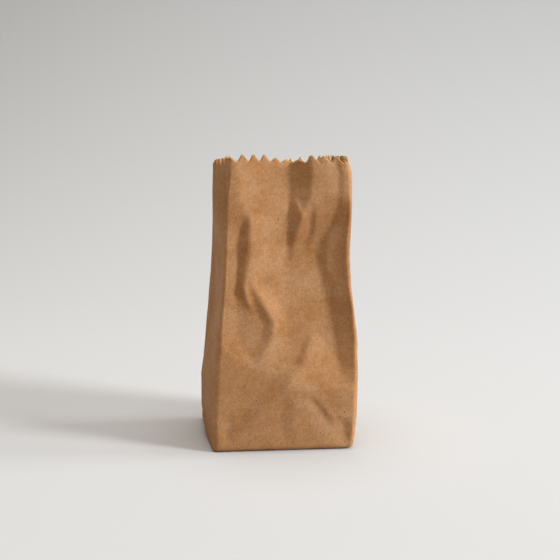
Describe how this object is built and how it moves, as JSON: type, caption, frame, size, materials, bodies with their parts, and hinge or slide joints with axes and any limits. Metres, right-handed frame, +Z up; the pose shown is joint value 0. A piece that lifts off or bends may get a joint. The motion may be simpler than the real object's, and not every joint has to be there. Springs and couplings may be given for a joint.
{
  "type": "crumpled paper bag vase",
  "caption": "Stoneware vase shaped like a crumpled block-bottomed paper bag with a pinked rim, speckled matte brown outside and cream glaze inside",
  "frame": {"origin": "on the base, under the middle of the whole vase's width and depth", "axes": "+Z up towards the open rim, front with the deep middle dent towards -Y, +X to the right seen from the front"},
  "size_m": [0.1222, 0.0934, 0.22],
  "materials": {
    "stoneware": "unglazed matte brown with small dark specks",
    "glaze": "glossy cream"
  },
  "bodies": {
    "root": {"stoneware_body": "stoneware", "interior_glaze": "glaze"}
  },
  "joints": []
}
